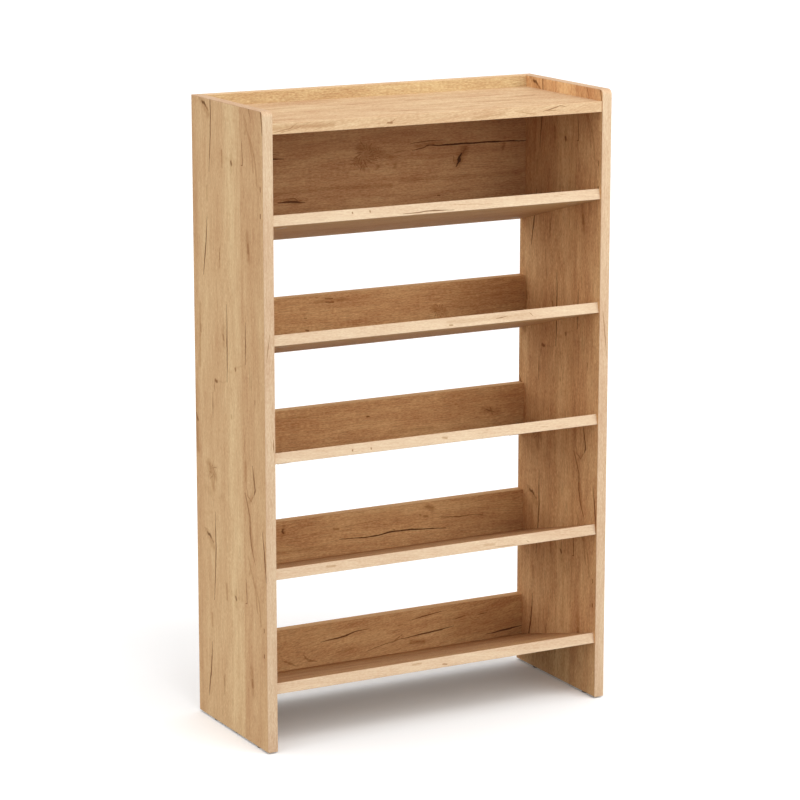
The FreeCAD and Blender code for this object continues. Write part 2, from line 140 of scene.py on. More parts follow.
# Side panels: (Y, Z). The printed figure comes round again every SIDE_REPEAT of height.
SIDE_REPEAT = 736
SIDE_TOP = round(cad_box[1].z * MM_PER_METRE)
SIDE_MARKS = [
    crack(4.8, 0.74, (61, 1108), (61, 1072), (60, 1044), (62, 1015), (65, 987), (69, 952)),
    knot(9, 0.80, (92, 1066), (80, 1061)),
    smear(8, 0.50, (80, 1062), (70, 1054)),
    smear(24, 0.22, (100, 1072), (68, 1046)),
    smear(10, 0.32, (19, 992), (18, 966)),
    knot(9, 0.72, (-16, 979), (-18, 975)),
    smear(16, 0.16, (-17, 988), (-17, 964)),
    smear(14, 0.08, (18, 983), (-40, 980)),
    crack(4.0, 0.58, (-56, 1020), (-59, 994), (-60, 979), (-53, 977)),
    crack(3.0, 0.45, (-80, 1082), (-86, 1066), (-93, 1052)),
    smear(9, 0.24, (-90, 1020), (-103, 998), (-110, 974), (-112, 952)),
    smear(9, 0.22, (-70, 1048), (-85, 1026), (-95, 1000), (-99, 972)),
    smear(8, 0.24, (-66, 1060), (-76, 1046), (-70, 1030)),
    crack(4.6, 0.80, (-121, 1115), (-126, 1085), (-130, 1060), (-133, 1034)),
    knot(5, 0.60, (-124, 950), (-124, 945)),
    knot(5, 0.65, (-124, 906), (-124, 901)),
    crack(5.4, 0.78, (79, 876), (82, 845), (86, 820), (91, 798), (95, 776)),
    knot(12, 0.42, (-77, 850), (-78, 838)),
    knot(6, 0.50, (-77, 846), (-78, 840)),
    smear(24, 0.20, (-74, 868), (-80, 826)),
    knot(5, 0.45, (32, 822), (32, 810)),
    smear(10, 0.25, (31, 828), (33, 796)),
    smear(9, 0.25, (78, 926), (78, 903)),
    crack(5.2, 0.76, (7, 738), (6, 702), (7, 674), (7, 638), (8, 608)),
    knot(10, 0.46, (21, 684), (20, 678)),
    smear(18, 0.18, (20, 698), (20, 666)),
    crack(4.6, 0.72, (-64, 720), (-64, 681), (-63, 650)),
    smear(6, 0.10, (-63, 651), (-52, 645), (-35, 641), (-28, 637)),
    knot(9, 0.55, (-24, 636), (-25, 633)),
    smear(6, 0.10, (6, 611), (20, 605), (45, 602), (57, 600)),
    knot(9, 0.65, (54, 603), (48, 601)),
    crack(3.4, 0.42, (57, 602), (60, 580)),
    crack(4.2, 0.58, (65, 578), (65, 534)),
    crack(3.6, 0.40, (-79, 648), (-80, 608)),
    crack(2.6, 0.30, (-85, 640), (-85, 600)),
    knot(8, 0.42, (109, 688), (109, 676)),
    smear(14, 0.25, (110, 722), (114, 618)),
    knot(9, 0.75, (131, 530), (126, 520)),
    smear(24, 0.30, (136, 584), (128, 470)),
    knot(5, 0.35, (-97, 596), (-97, 590)),
    knot(5, 0.30, (-8, 555), (-8, 549)),
    crack(3.0, 0.40, (-56, 530), (-55, 500)),
    *burr((70, 442), 20, 0.40, 7, lean=1.7),
    smear(26, 0.27, (84, 452), (60, 434)),
    smear(22, 0.12, (96, 408), (74, 402)),
    smear(20, 0.10, (44, 402), (28, 407)),
    smear(22, 0.24, (72, 430), (67, 412)),
    crack(5.4, 0.76, (-85, 484), (-90, 464), (-95, 444), (-90, 434)),
    crack(4.6, 0.36, (-91, 435), (-79, 423), (-68, 428), (-62, 444)),
    crack(4.8, 0.58, (-56, 432), (-64, 416), (-71, 398)),
    crack(4.8, 0.60, (-67, 410), (-74, 394), (-74, 366), (-80, 344), (-88, 326)),
    smear(14, 0.26, (-60, 484), (-60, 454)),
    smear(18, 0.16, (-90, 476), (-88, 436), (-66, 414), (-84, 336)),
]
# Tone across a side panel, from the front edge to the rear one: (Y, lightness). Staves meet at the steps.
SIDE_BANDS = [
    (-135, 0.44), (-118, 0.42), (-90, 0.38), (-51, 0.36), (-48, 0.60), (-20, 0.64), (14, 0.62), (19, 0.54),
    (58, 0.53), (63, 0.49), (96, 0.53), (112, 0.46), (117, 0.36), (135, 0.36),
]


def wrapped(marks):
    """Marks of a side panel, drawn again one repeat away where they cross the ends of the repeat."""
    heights = [[height for across, height in mark.points] for mark in marks]
    over = [mark for mark, reach in zip(marks, heights) if max(reach) > SIDE_TOP]
    under = [mark for mark, reach in zip(marks, heights) if min(reach) < SIDE_TOP - SIDE_REPEAT]
    return marks + moved(over, 0, -SIDE_REPEAT) + moved(under, 0, SIDE_REPEAT)


# Upper back panel and rails: (X, Z), seen from the front.
UPPER_BACK_MARKS = turned([
    crack(4.0, 1.00, (112, 962), (137, 960), (171, 960), (219, 960), (263, 959), (330, 957)),
    crack(2.4, 0.75, (76, 966), (96, 968), (116, 969), (142, 969)),
    crack(2.6, 0.80, (82, 954), (103, 958), (111, 961), (126, 962)),
    crack(2.4, 0.40, (46, 953), (68, 956)),
    smear(14, 0.25, (90, 962), (140, 964)),
    crack(8.5, 1.00, (180, 943), (175, 933), (169, 921)),
    crack(3.0, 0.50, (190, 955), (184, 946), (180, 937)),
    crack(3.0, 0.40, (165, 942), (164, 926)),
    smear(26, 0.40, (186, 950), (172, 926)),
    *burr((-10, 953), 24, 0.40, 13),
    *burr((12, 954), 13, 0.42, 9),
    *burr((-28, 942), 11, 0.46, 8),
    smear(26, 0.26, (-22, 966), (6, 962)),
    smear(24, 0.24, (8, 958), (40, 945)),
    smear(12, 0.30, (-14, 934), (-13, 928)),
    smear(11, 0.30, (14, 933), (13, 929)),
    smear(11, 0.32, (48, 933), (47, 928)),
    smear(9, 0.35, (266, 957), (262, 945)),
    knot(4, 0.70, (132, 872), (136, 872)),
    crack(4.5, 0.90, (-178, 882), (-160, 882), (-143, 881), (-126, 879)),
    crack(3.0, 0.60, (-158, 888), (-148, 888), (-140, 882)),
    smear(14, 0.30, (-160, 884), (-136, 881)),
    crack(3.4, 0.85, (-230, 956), (-188, 957), (-168, 956)),
    crack(2.6, 0.60, (-230, 965), (-174, 964)),
    crack(2.4, 0.30, (-230, 969), (-162, 967)),
    smear(12, 0.20, (-190, 898), (-60, 900), (40, 896)),
    smear(16, 0.15, (60, 904), (300, 900)),
])
# Above this height the front of the upper back panel is the rim behind the top, out of the top bay's shade,
# which keeps a lighter colour of its own; below it the panel's colour is darker as painted shade.
RIM_FOOT = 1044
RAIL_MARKS = {
    2: turned([
        knot(3.5, 0.60, (-90, 709), (-74, 708)),
        knot(4, 0.65, (-88, 703), (-72, 702)),
        smear(14, 0.20, (-106, 706), (-54, 705)),
        knot(4, 0.40, (-129, 679), (-125, 678)),
        knot(5, 0.60, (-127, 657), (-123, 656)),
        *burr((136, 668), 14, 0.42, 11),
        *burr((148, 664), 9, 0.38, 8),
        smear(20, 0.30, (124, 674), (150, 662)),
        crack(3.0, 0.25, (230, 701), (262, 704), (304, 707)),
        smear(14, 0.14, (236, 700), (312, 710)),
        # Painted shade: a broad soft darkening over the rail's right end, by the corner with the right side.
        smear(150, 0.20, (190, 686), (330, 686)),
    ]),
    3: turned([
        knot(4, 0.75, (-8, 493), (-4, 493)),
        crack(5, 0.60, (231, 481), (240, 477), (249, 474)),
        crack(4, 0.50, (238, 485), (243, 477), (244, 469)),
        smear(26, 0.28, (226, 480), (258, 474)),
        crack(2.6, 0.50, (131, 520), (167, 521)),
        smear(12, 0.20, (32, 459), (123, 459)),
        smear(8, 0.16, (-200, 508), (-120, 505)),
        # Painted shade: a broad soft darkening over the rail's right end, by the corner with the right side.
        smear(150, 0.08, (190, 489), (330, 489)),
    ]),
    4: turned([
        knot(6.5, 0.75, (-173, 309), (-173, 303)),
        smear(13, 0.22, (-173, 313), (-173, 298)),
        crack(3.6, 1.00, (-62, 278), (-14, 275), (14, 276), (41, 279), (82, 278), (116, 275), (150, 272)),
        crack(2.6, 0.65, (138, 294), (157, 292), (178, 290), (198, 290), (226, 288)),
        crack(2.4, 0.25, (-60, 299), (-20, 302), (40, 304)),
        smear(15, 0.40, (112, 316), (124, 311)),
        smear(8, 0.42, (107, 299), (114, 298)),
        smear(6, 0.36, (97, 303), (99, 301)),
        smear(8, 0.45, (-75, 298), (-66, 297)),
        knot(3.5, 0.55, (44, 283), (48, 282)),
        smear(12, 0.18, (-200, 270), (-90, 268)),
        # Painted shade: a broad soft darkening over the rail's right end, by the corner with the right side.
        smear(150, 0.08, (190, 292), (330, 292)),
    ]),
    5: turned([
        crack(3.8, 0.90, (-100, 96), (-75, 98), (-54, 100), (-37, 105), (-20, 107)),
        crack(2.6, 0.50, (-26, 106), (-3, 107)),
        crack(2.4, 0.40, (48, 104), (68, 105)),
        crack(3.0, 0.78, (79, 111), (103, 114), (120, 116), (142, 119)),
        crack(3.0, 0.70, (165, 100), (178, 102), (190, 104)),
        crack(2.6, 0.65, (216, 102), (237, 103)),
        crack(2.8, 0.55, (-8, 66), (20, 73), (41, 76), (66, 80)),
        crack(3.8, 0.95, (60, 79), (92, 81), (120, 83), (144, 85), (168, 88)),
        crack(2.6, 0.50, (40, 74), (56, 82), (64, 88)),
        crack(4.2, 0.95, (238, 63), (266, 65), (287, 67), (316, 69)),
        crack(7, 0.35, (-176, 72), (-162, 66), (-152, 60)),
        crack(7, 0.38, (-136, 76), (-124, 66), (-110, 62)),
        smear(10, 0.25, (-64, 70), (-38, 76)),
        smear(16, 0.32, (80, 70), (106, 67)),
        smear(10, 0.22, (200, 92), (300, 118)),
        # Painted shade: a broad soft darkening over the rail's right end, by the corner with the right side.
        smear(150, 0.20, (190, 88), (330, 90)),
    ]),
}
# How far the figure of each rail climbs for each millimetre to the right.
RAIL_LEANS = {2: 0.0, 3: 0.0, 4: -0.03, 5: 0.12}
# Top panel: (X, Y).
TOP_MARKS = turned([
    smear(10, 0.30, (28, 38), (60, 37)),
    smear(9, 0.28, (14, -36), (52, -36)),
    smear(9, 0.36, (118, -42), (188, -44)),
    smear(11, 0.36, (220, 1), (258, 1)),
    smear(9, 0.24, (128, 8), (174, 6)),
    smear(9, 0.20, (-132, -7), (-88, -7)),
    smear(9, 0.20, (-86, 30), (-46, 30)),
    smear(8, 0.24, (-68, -85), (-22, -85)),
    smear(8, 0.24, (52, -85), (96, -85)),
    smear(8, 0.24, (174, -85), (220, -85)),
    smear(8, 0.20, (-220, 38), (-182, 38)),
    smear(12, 0.20, (-110, 100), (-78, 98)),
])


def on_front(marks, y):
    """Marks given as (X, Z) on a band's front face at Y, for a figure laid by ON_AN_EDGE."""
    return turned(moved(marks, 0, y))


# Front edges: (X, Z), with the Y of the top's front edge and of the middle of a shelf's.
TOP_FRONT = -133
SHELF_FRONT = -130
TOP_BAND_MARKS = on_front([
    crack(2.6, 0.65, (194, 1043), (210, 1046), (226, 1050), (238, 1048)),
    crack(2.0, 0.40, (198, 1044), (224, 1043)),
    crack(2.2, 0.45, (-308, 1038), (-280, 1043), (-262, 1052)),
    crack(2.0, 0.35, (-296, 1037), (-262, 1044), (-240, 1052)),
    crack(2.0, 0.30, (-236, 1037), (-214, 1044), (-200, 1051)),
    knot(5, 0.60, (-100, 1041), (-93, 1041)),
    crack(2.4, 0.45, (-104, 1039), (-94, 1043), (-88, 1047)),
    smear(14, 0.22, (-308, 1046), (-200, 1045)),
    smear(8, 0.16, (60, 1039), (120, 1044)),
    crack(2.0, 0.30, (140, 1046), (186, 1038)),
], TOP_FRONT)
SHELF_BAND_MARKS = on_front([
    knot(4, 0.70, (-164, 900), (-164, 898)),
    knot(4, 0.65, (-131, 900), (-131, 898)),
    crack(3.6, 0.75, (-72, 888), (-36, 889), (-12, 890), (24, 888)),
    crack(1.8, 0.35, (14, 900), (60, 896), (104, 893)),
    crack(2.0, 0.30, (220, 900), (244, 901)),
    crack(3.0, 0.60, (106, 698), (119, 699), (132, 701)),
    crack(2.6, 0.50, (172, 704), (175, 700), (179, 696)),
    knot(5, 0.50, (18, 694), (23, 694)),
    smear(14, 0.12, (16, 700), (170, 700)),
    knot(4, 0.65, (-165, 502), (-165, 500)),
    knot(4, 0.60, (-131, 501), (-131, 499)),
    smear(8, 0.35, (6, 504), (14, 502)),
    crack(2.0, 0.30, (196, 502), (212, 500)),
    smear(7, 0.30, (-214, 309), (-200, 308)),
    smear(8, 0.22, (88, 306), (106, 306)),
    crack(2.4, 0.40, (170, 304), (176, 300)),
    crack(2.4, 0.40, (108, 300), (150, 299)),
    smear(6, 0.28, (-50, 115), (-36, 115)),
    knot(5, 0.45, (6, 106), (14, 105)),
], SHELF_FRONT)
# How far the figure climbs on them for each millimetre to the right.
TOP_BAND_LEAN = 0.1
SHELF_BAND_LEAN = -0.1
# Painted shade on the shelves' front edges, darker on the lower shelves, from the lowest up: (Y + Z,
# lightness).
SHELF_BAND_PAINTED_SHADE = [(-60, 0.42), (170, 0.46), (370, 0.49), (780, 0.52)]
# Front edges of the side panels: (-X, Y + Z).
SIDE_BAND_MARKS = [
    crack(2.4, 0.45, (325, 531), (322, 552), (318, 577)),
    crack(3.0, 0.50, (313, 380), (314, 402)),
    crack(2.4, 0.50, (-325, 478), (-321, 516), (-316, 559)),
]
# Painted light and shade along the band of a side panel, up its front edge and then back over its top:
# (Y + Z, lightness). The front edge is painted lighter towards the top, and the top much darker.
SIDE_BAND_PAINTED_LIGHT_AND_SHADE = [(-135, 0.46), (400, 0.47), (700, 0.51), (930, 0.60), (945, 0.28), (1210, 0.26)]

# Colours, as sRGB levels of 255. A board's or band's colour is that of its middle tone.
# Partly painted shade: the rails' colour is warmer than the left side's, standing in for the warm shade in
# the bays.
BOARD_COLOUR = (211, 165, 115)
LEFT_SIDE_COLOUR = (210, 172, 128)
# Painted shade: the right panel is warmer than the left, standing in for the shade on its inner face.
RIGHT_SIDE_SHADED_COLOUR = (215, 168, 118)
# Painted shade: the upper back panel is darker and redder than the other boards, standing in for the shade in
# the top bay.
UPPER_BACK_SHADED_COLOUR = (197, 149, 104)
RIM_COLOUR = (205, 175, 130)
# Painted light: the top is paler than the other boards, standing in for more light from above on it.
TOP_LIT_COLOUR = (210, 174, 134)
# Painted shade: the shelves are darker and redder than the other boards, standing in for the shade between
# them.
SHELF_SHADED_COLOUR = (182, 137, 93)
SIDE_BAND_COLOUR = (215, 184, 150)
SHELF_BAND_COLOUR = (219, 192, 160)
TOP_BAND_COLOUR = (215, 180, 140)
PORE_COLOUR = (150, 106, 68)
# From the darkest tone to the lightest, red changes by this share, and green and blue by these powers of it.
TONE_RANGE = 0.5
TONE_POWERS = (1.0, 1.7, 2.0)
# The figure is layers of streaks: width and length in millimetres, detail, and share of the tone.
Streaks = namedtuple("Streaks", "width length detail share")
FIGURE = [
    Streaks(60, 420, 2.0, 0.34),
    Streaks(26, 100, 2.0, 0.38),
    Streaks(9, 160, 2.0, 0.28),
    Streaks(3, 70, 2.0, 0.30),
    Streaks(1.5, 20, 1.0, 0.40),
    Streaks(1.7, 6, 1.0, 0.60),
]
# How much of a streak's finer noise shows in it.
STREAK_ROUGHNESS = 0.6
# How strong the figure is, against that of the left side: on most boards, on the upper back and on the top,
# and on the edge bands of the sides and of the shelves.
BOARD_CONTRAST = 1.7
UPPER_BACK_CONTRAST = 1.6
TOP_CONTRAST = 1.5
SIDE_BAND_CONTRAST = 0.8
SHELF_BAND_CONTRAST = 0.7
# How far across the print the top and the first shelf are cut, and how far it is from one shelf to the next.
TOP_SHIFT = 210
SHELF_SHIFT = 1010
SHELF_SHIFT_STEP = 310
# Painted light: how much lighter the undersides of the shelves are coloured, standing in for light thrown up
# at them.
UNDERSIDE_PAINTED_LIGHT = 0.45
# Pores are the dark peaks of streaks of their own, from where one starts to where it is full.
PORES = Streaks(1.5, 34, 1.0, 0.2)
PORE_START = 0.56
PORE_FULL = 0.72
PORE_DEPTH = 0.5
# The grain strays sideways in slow waves, and the staves' edges by a share of that, in millimetres.
WAVE_SIZE = (70, 330, 1)
WAVE_REACH = 24.0
STAVE_SWAY = 0.1
# Marks stray in small waves, across and along, so that they look drawn by nature.
RAGGED_SIZE = (7, 24, 1)
RAGGED_REACH = (2.5, 8, 0)
# The boards' matt face: its specular level, its roughness over a span of tones, from dark wood to light, and
# its emboss, with the depth in metres.
BOARD_SPECULAR = 0.12
TONE_SPAN = (0.1, 0.9)
BOARD_ROUGHNESS = (0.88, 0.74)
EMBOSS_STRENGTH = 0.35
EMBOSS_DEPTH = 0.0003
# What a mark leaves of the wood's red, green and blue, from bare wood to the darkest mark: faint marks are a
# warm brown, and the hearts of cracks nearly black.
MARK_STOPS = [
    (0.0, (1.0, 1.0, 1.0, 1.0)),
    (0.25, (0.80, 0.73, 0.66, 1.0)),
    (0.5, (0.58, 0.48, 0.40, 1.0)),
    (0.75, (0.36, 0.28, 0.22, 1.0)),
    (1.0, (0.15, 0.11, 0.09, 1.0)),
]
# Fittings, by their material slot: a finish's name and colour, 1 for metal, its roughness, the size of its
# grain in millimetres and the depth of its bump in metres.
Finish = namedtuple("Finish", "name levels metallic roughness grain depth")
FITTINGS = {
    "zinc": Finish("cast_zinc", (176, 178, 180), 1.0, 0.42, 0.5, 0.00008),
    "steel": Finish("plated_steel", (190, 190, 186), 1.0, 0.3, 0.3, 0.00004),
    "beech": Finish("beech_dowel", (214, 174, 132), 0.0, 0.6, 1.2, 0.0001),
    "brown_plastic": Finish("brown_plastic", (84, 56, 38), 0.0, 0.5, 0.6, 0.00008),
    "oak_plastic": Finish("oak_plastic", (206, 168, 124), 0.0, 0.55, 0.8, 0.00006),
}
# The levels of a finish's grain from hollow to raised, how dark the hollows are, how far its roughness varies
# either way, and how strong its bump is.
GRAIN_SPAN = (0.3, 0.7)
HOLLOW_SHADE = 0.82
ROUGHNESS_SPREAD = 0.08
GRAIN_STRENGTH = 0.3


def linear(levels):
    """A colour in linear light from sRGB levels of 255."""
    channels = []
    for level in levels:
        share = level / 255
        channels.append(share / 12.92 if share <= 0.04045 else ((share + 0.055) / 1.055) ** 2.4)
    return (*channels, 1.0)


def tones(levels):
    """Stops of a ramp from dark to light about a colour: darker wood is redder too."""
    stops = []
    for place in (0.0, 0.25, 0.5, 0.75, 1.0):
        share = 1 + TONE_RANGE * (place - 0.5)
        channels = [channel * share**power for channel, power in zip(linear(levels), TONE_POWERS)]
        stops.append((place, (*channels, 1.0)))
    return stops


class Tree:
    """A node tree with short ways to add to it. A value is an output socket, a number or a tuple."""

    def __init__(self, tree):
        self.tree = tree

    def give(self, socket, value):
        if isinstance(value, bpy.types.NodeSocket):
            self.tree.links.new(value, socket)
        else:
            socket.default_value = value

    def node(self, kind, values=None, **settings):
        made = self.tree.nodes.new(kind)
        for name, setting in settings.items():
            setattr(made, name, setting)
        for key, value in (values or {}).items():
            self.give(made.inputs[key], value)
        return made

    def math(self, operation, *values):
        return self.node("ShaderNodeMath", dict(enumerate(values)), operation=operation).outputs[0]

    def vector(self, operation, *values):
        made = self.node("ShaderNodeVectorMath", dict(enumerate(values)), operation=operation)
        return made.outputs["Value" if operation in ("DOT_PRODUCT", "LENGTH") else "Vector"]

    def combine(self, x, y, z=0.0):
        return self.node("ShaderNodeCombineXYZ", {0: x, 1: y, 2: z}).outputs[0]

    def noise(self, point, dimensions="2D", detail=2.0, roughness=0.5):
        values = {"Vector": point, "Scale": 1.0, "Detail": detail, "Roughness": roughness}
        return self.node("ShaderNodeTexNoise", values, noise_dimensions=dimensions).outputs[0]

    def remap(self, value, low, high, to_low=0.0, to_high=1.0, shape="SMOOTHSTEP"):
        values = dict(enumerate((value, low, high, to_low, to_high)))
        return self.node("ShaderNodeMapRange", values, interpolation_type=shape).outputs[0]

    def mix(self, share, first, second):
        made = self.node("ShaderNodeMix", data_type="RGBA")
        sockets = {socket.identifier: socket for socket in made.inputs}
        self.give(sockets["Factor_Float"], share)
        self.give(sockets["A_Color"], first)
        self.give(sockets["B_Color"], second)
        return next(socket for socket in made.outputs if socket.identifier == "Result_Color")

    def ramp(self, value, stops):
        """A colour ramp with stops of (place, linear colour)."""
        made = self.node("ShaderNodeValToRGB", {0: value})
        elements = made.color_ramp.elements
        while len(elements) < len(stops):
            elements.new(1.0)
        for element, (place, colour) in zip(elements, stops):
            element.position = place
            element.color = colour
        return made.outputs[0]


def new_group(name, inputs, outputs):
    """A node group with sockets given as (name, kind): the group, its tree, and its two ends' sockets."""
    group = bpy.data.node_groups.new(name, "ShaderNodeTree")
    for socket_name, kind in inputs:
        group.interface.new_socket(name=socket_name, in_out="INPUT", socket_type="NodeSocket" + kind)
    for socket_name, kind in outputs:
        group.interface.new_socket(name=socket_name, in_out="OUTPUT", socket_type="NodeSocket" + kind)
    tree = Tree(group)
    return group, tree, tree.node("NodeGroupInput").outputs, tree.node("NodeGroupOutput").inputs


def make_mark_group():
    """Draws one stretch of a mark: a straight stroke whose width changes steadily.

    The point carries what is drawn so far as its third part, so that a board's many marks are worked out
    one after another and never all at once. Line runs from Start to the other end, Measure is Line over its
    length squared, Half is half the width at Start, and Narrowing what it loses by the other end.
    """
    inputs = [
        ("Point", "Vector"), ("Start", "Vector"), ("Line", "Vector"), ("Measure", "Vector"),
        ("Half", "Float"), ("Narrowing", "Float"), ("Tone", "Float"), ("Soft", "Float"),
    ]
    group, tree, given, result = new_group("oak_mark", inputs, [("Point", "Vector")])
    away = tree.vector("MULTIPLY", tree.vector("SUBTRACT", given["Point"], given["Start"]), (1, 1, 0))
    share = tree.vector("DOT_PRODUCT", away, given["Measure"])
    back = tree.remap(share, 0.0, 1.0, 0.0, -1.0, "LINEAR")
    scaled = tree.node("ShaderNodeVectorMath", {"Scale": back}, operation="SCALE")
    tree.give(scaled.inputs[0], given["Line"])
    off = tree.vector("LENGTH", tree.vector("ADD", away, scaled.outputs["Vector"]))
    half = tree.math("MULTIPLY_ADD", given["Narrowing"], back, given["Half"])
    core = tree.math("SUBTRACT", 1.0, given["Soft"])
    shade = tree.remap(tree.math("DIVIDE", off, half), 1.0, core, 0.0, given["Tone"])
    nowhere = -1e6
    shaded = tree.combine(nowhere, nowhere, shade)
    tree.give(result["Point"], tree.vector("MAXIMUM", given["Point"], shaded))
    return group


def make_figure_group():
    """The wood's own figure at a point (across, along) in millimetres.

    Tone runs from dark to light about a half, Pores are short dark dashes along the grain,
    and Wander is how far the grain strays sideways there.
    """
    outputs = [("Tone", "Float"), ("Pores", "Float"), ("Wander", "Float")]
    group, tree, given, result = new_group("oak_figure", [("Point", "Vector")], outputs)
    slow = tree.noise(tree.vector("DIVIDE", given["Point"], WAVE_SIZE))
    wander = tree.math("MULTIPLY", tree.math("SUBTRACT", slow, 0.5), WAVE_REACH)
    strayed = tree.vector("ADD", given["Point"], tree.combine(wander, 0.0))

    def drawn(streaks):
        """Noise about a half whose streaks have that size."""
        place = tree.vector("DIVIDE", strayed, (streaks.width, streaks.length, 1))
        return tree.noise(place, detail=streaks.detail, roughness=STREAK_ROUGHNESS)

    tone = 0.5
    for streaks in FIGURE:
        tone = tree.math("MULTIPLY_ADD", tree.math("SUBTRACT", drawn(streaks), 0.5), streaks.share, tone)
    tree.give(result["Tone"], tone)
    tree.give(result["Pores"], tree.remap(drawn(PORES), PORE_START, PORE_FULL))
    tree.give(result["Wander"], wander)
    return group


MARK_GROUP = make_mark_group()
FIGURE_GROUP = make_figure_group()


def new_material(name):
    """A material with its tree and its principled shader."""
    material = bpy.data.materials.new(name)
    material.use_nodes = True
    return material, Tree(material.node_tree), material.node_tree.nodes["Principled BSDF"]


def on_face(tree, layout, shift):
    """Where a point lies on a board, across and along its grain, in millimetres, and whether it is hidden.

    The face away from the viewer shows another stretch of the printed figure.
    """
    place = tree.node("ShaderNodeTexCoord").outputs["Object"]
    outward = Vector(layout.along).cross(Vector(layout.across))
    across, along = (
        tree.math("MULTIPLY", tree.vector("DOT_PRODUCT", place, axis), MM_PER_METRE) for axis in layout
    )
    normal = tree.node("ShaderNodeNewGeometry").outputs["Normal"]
    hidden = tree.math("LESS_THAN", tree.vector("DOT_PRODUCT", normal, tuple(outward)), 0.0)
    along = tree.math("MULTIPLY_ADD", hidden, FAR_FACE_SHIFT, along)
    return across, along, tree.combine(tree.math("ADD", across, shift), along), hidden


def draw_marks(tree, point, marks):
    """The marks of a board at a point of its face, as one value from 0, bare, to 1, darkest."""
    for mark in marks:
        stretches = zip(mark.points, mark.points[1:], mark.widths, mark.widths[1:])
        for start, end, width, end_width in stretches:
            line = Vector(end) - Vector(start)
            values = {
                "Point": point,
                "Start": (*start, 0.0),
                "Line": (*line, 0.0),
                "Measure": (*(line / line.length_squared), 0.0),
                "Half": width / 2,
                "Narrowing": (width - end_width) / 2,
                "Tone": mark.tone,
                "Soft": mark.soft,
            }
            point = tree.node("ShaderNodeGroup", values, node_tree=MARK_GROUP).outputs[0]
    return tree.node("ShaderNodeSeparateXYZ", {0: point}).outputs["Z"]


def oak(
    name, layout, levels, marks=(), bands=(), repeat=None, shift=0.0, contrast=1.0, lean=0.0, far_face_painted_light=0.0,
    rim_levels=None,
):
    """Printed oak with a matt embossed face, for a board or an edge band.

    Its figure climbs by lean for each millimetre along the grain, and the face away from the viewer, such as
    a shelf's underside, is coloured lighter by the share given for it, as painted light. Stripes of tone run
    across the grain, or along it on the edge band that goes round a side: staves on a side panel, and painted
    light and shade on the edge bands.
    A rim above RIM_FOOT can have a colour of its own on the face towards the viewer, free of the painted
    shade in the board's colour below it.
    """
    material, tree, shader = new_material(name)
    across, along, point, hidden = on_face(tree, layout, shift)
    leaning = tree.vector("SUBTRACT", point, tree.combine(tree.math("MULTIPLY", along, lean), 0.0))
    figure = tree.node("ShaderNodeGroup", {"Point": leaning}, node_tree=FIGURE_GROUP)
    tone = tree.math("MULTIPLY_ADD", figure.outputs["Tone"], contrast, 0.5 * (1 - contrast))
    # Painted light: the face away from the viewer, such as a shelf's underside, is coloured lighter.
    tone = tree.math("MULTIPLY_ADD", hidden, far_face_painted_light, tone)
    # Stripes of tone: staves on a side panel, and painted light and shade on the edge bands.
    if bands:
        low = bands[0][0]
        high = bands[-1][0]
        stops = [((place - low) / (high - low), (light, light, light, 1.0)) for place, light in bands]
        run = along if layout is ROUND_THE_SIDE else across
        swayed = tree.math("MULTIPLY_ADD", figure.outputs["Wander"], STAVE_SWAY, run)
        stripe = tree.ramp(tree.remap(swayed, low, high, shape="LINEAR"), stops)
        tone = tree.math("ADD", tone, tree.math("SUBTRACT", stripe, 0.5))
    colour = tree.ramp(tone, tones(levels))
    if rim_levels:
        above = tree.math("GREATER_THAN", across, RIM_FOOT)
        on_rim = tree.math("SUBTRACT", above, hidden)
        colour = tree.mix(on_rim, colour, tree.ramp(tone, tones(rim_levels)))
    pores = tree.math("MULTIPLY", figure.outputs["Pores"], PORES.share * contrast)
    colour = tree.mix(pores, colour, linear(PORE_COLOUR))
    height = tree.math("MULTIPLY_ADD", figure.outputs["Pores"], -PORE_DEPTH, tone)
    if marks:
        if repeat:
            along = tree.math("WRAP", along, SIDE_TOP, SIDE_TOP - repeat)
        ragged = tree.node("ShaderNodeTexNoise", {"Scale": 1.0, "Detail": 3.0}, noise_dimensions="2D")
        tree.give(ragged.inputs["Vector"], tree.vector("DIVIDE", point, RAGGED_SIZE))
        stray = tree.vector("SUBTRACT", ragged.outputs["Color"], (0.5, 0.5, 0.5))
        strayed = tree.vector("MULTIPLY_ADD", stray, RAGGED_REACH, tree.combine(across, along))
        left = tree.ramp(draw_marks(tree, strayed, marks), MARK_STOPS)
        colour = tree.vector("MULTIPLY", colour, left)
    tree.give(shader.inputs["Base Color"], colour)
    shader.inputs["Specular IOR Level"].default_value = BOARD_SPECULAR
    tree.give(shader.inputs["Roughness"], tree.remap(tone, *TONE_SPAN, *BOARD_ROUGHNESS))
    values = {"Height": height, "Strength": EMBOSS_STRENGTH, "Distance": EMBOSS_DEPTH}
    bump = tree.node("ShaderNodeBump", values)
    tree.give(shader.inputs["Normal"], bump.outputs[0])
    return material


def grained(finish):
    """A cast, turned or moulded surface, whose fine grain varies its tone and sheen."""
    material, tree, shader = new_material(finish.name)
    place = tree.node("ShaderNodeTexCoord").outputs["Object"]
    cells = MM_PER_METRE / finish.grain
    spot = tree.noise(tree.vector("MULTIPLY", place, (cells, cells, cells)), "3D", detail=3.0)
    raised = tree.remap(spot, *GRAIN_SPAN)
    hollow = linear([level * HOLLOW_SHADE for level in finish.levels])
    tree.give(shader.inputs["Base Color"], tree.mix(raised, hollow, linear(finish.levels)))
    dullest = finish.roughness + ROUGHNESS_SPREAD
    glossiest = finish.roughness - ROUGHNESS_SPREAD
    tree.give(shader.inputs["Roughness"], tree.remap(spot, *GRAIN_SPAN, dullest, glossiest))
    values = {"Height": spot, "Strength": GRAIN_STRENGTH, "Distance": finish.depth}
    tree.give(shader.inputs["Normal"], tree.node("ShaderNodeBump", values).outputs[0])
    shader.inputs["Metallic"].default_value = finish.metallic
    return material


